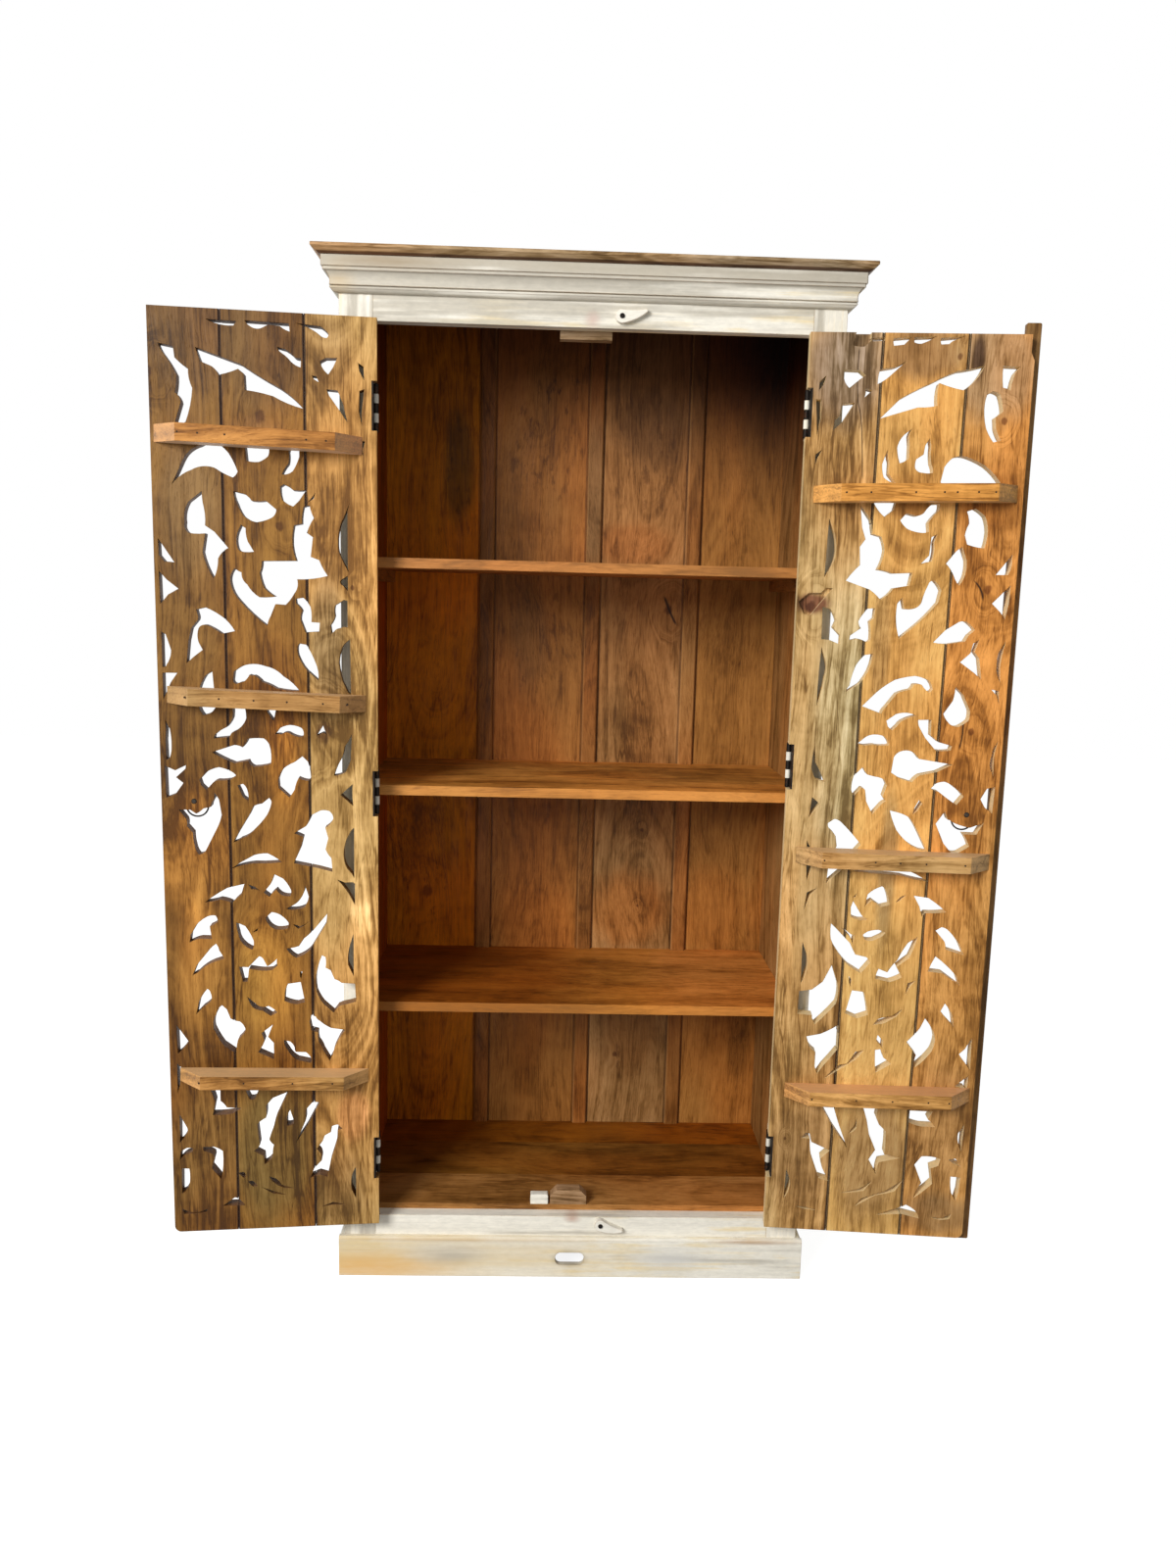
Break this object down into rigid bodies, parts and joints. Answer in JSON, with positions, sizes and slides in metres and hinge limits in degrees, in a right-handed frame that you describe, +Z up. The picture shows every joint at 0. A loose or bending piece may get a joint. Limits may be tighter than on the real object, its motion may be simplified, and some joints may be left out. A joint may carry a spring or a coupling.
{
  "type": "book cabinet",
  "caption": "Tall wooden book cabinet with pierced scrollwork plank doors swung open, shelves inside, a moulded cornice, a plinth and wooden turn buttons.",
  "frame": {"origin": "on the floor, in the middle of the face frame's front plane, at the back edge of the plinth board's underside", "axes": "+X to the viewer's right, +Y into the cabinet, +Z up"},
  "size_m": [1.4851, 0.5105, 1.857],
  "materials": {
    "brown_top_wood": "worn satin",
    "cream_paint": "distressed matt paint over wood",
    "inner_wood": "waxed",
    "door_wood": "waxed, weathered",
    "white_catch": "matt",
    "dark_steel": "oxidised",
    "black_iron": "black iron",
    "painted_hinge": "cream paint, chipped",
    "painted_button": "distressed paint over wood"
  },
  "bodies": {
    "cabinet": {"back_board_1": "inner_wood", "back_board_2": "inner_wood", "back_board_3": "inner_wood", "back_board_4": "inner_wood", "back_cover_strips": "inner_wood", "bottom_rail": "cream_paint", "cornice_front": "cream_paint", "cornice_left": "cream_paint", "cornice_right": "cream_paint", "floor_board_back": "inner_wood", "floor_board_front": "inner_wood", "floor_board_middle": "inner_wood", "frame_hinge_screws": "dark_steel", "hinge_pins": "painted_hinge", "left_frame_hinge_leaves": "painted_hinge", "left_side_boards": "cream_paint", "left_stile": "cream_paint", "lintel": "cream_paint", "lower_door_stop": "inner_wood", "lower_shelf": "inner_wood", "middle_shelf": "inner_wood", "plinth_front": "cream_paint", "plinth_left": "cream_paint", "plinth_right": "cream_paint", "right_frame_hinge_leaves": "painted_hinge", "right_side_boards": "cream_paint", "right_stile": "cream_paint", "shelf_cleats": "inner_wood", "top_board": "brown_top_wood", "turn_button_screws": "dark_steel", "upper_door_stop": "inner_wood", "upper_shelf": "inner_wood", "white_catch": "white_catch"},
    "left_door": {"left_door_batten_nails": "dark_steel", "left_door_hinge_leaves": "black_iron", "left_door_hinge_screws": "dark_steel", "left_door_lower_batten": "door_wood", "left_door_middle_batten": "door_wood", "left_door_plank_1": "door_wood", "left_door_plank_2": "door_wood", "left_door_plank_3": "door_wood", "left_door_ring_staple": "black_iron", "left_door_upper_batten": "door_wood"},
    "right_door": {"right_door_batten_nails": "dark_steel", "right_door_hinge_leaves": "black_iron", "right_door_hinge_screws": "dark_steel", "right_door_lower_batten": "door_wood", "right_door_meeting_strip": "door_wood", "right_door_middle_batten": "door_wood", "right_door_plank_1": "door_wood", "right_door_plank_2": "door_wood", "right_door_plank_3": "door_wood", "right_door_ring_staple": "black_iron", "right_door_upper_batten": "door_wood"},
    "left_ring": {"left_door_ring": "black_iron"},
    "right_ring": {"right_door_ring": "black_iron"},
    "upper_button": {"upper_turn_button": "painted_button"},
    "lower_button": {"lower_turn_button": "painted_button"}
  },
  "joints": [
    {"name": "left_door_hinge", "type": "hinge", "parent": "cabinet", "child": "left_door", "pos_m": [-0.3692, -0.0048, 0.93], "axis": [0, 0, 1], "range_deg": [-5.8, 174.2]},
    {"name": "right_door_hinge", "type": "hinge", "parent": "cabinet", "child": "right_door", "pos_m": [0.3692, -0.0048, 0.93], "axis": [0, 0, -1], "range_deg": [-5.35, 174.65]},
    {"name": "left_ring_swing", "type": "hinge", "parent": "left_door", "child": "left_ring", "pos_m": [-0.67982, -0.03515, 0.929], "axis": [0.9949, 0.1011, 0], "range_deg": [0, 95]},
    {"name": "right_ring_swing", "type": "hinge", "parent": "right_door", "child": "right_ring", "pos_m": [0.68304, -0.03299, 0.932], "axis": [0.9956, -0.0932, 0], "range_deg": [0, 95]},
    {"name": "upper_button_turn", "type": "hinge", "parent": "cabinet", "child": "upper_button", "pos_m": [0.0465, -0.006, 1.7625], "axis": [0, 1, 0], "range_deg": [0, 104]},
    {"name": "lower_button_turn", "type": "hinge", "parent": "cabinet", "child": "lower_button", "pos_m": [0.054, -0.006, 0.1055], "axis": [0, -1, 0], "range_deg": [0, 104]}
  ]
}
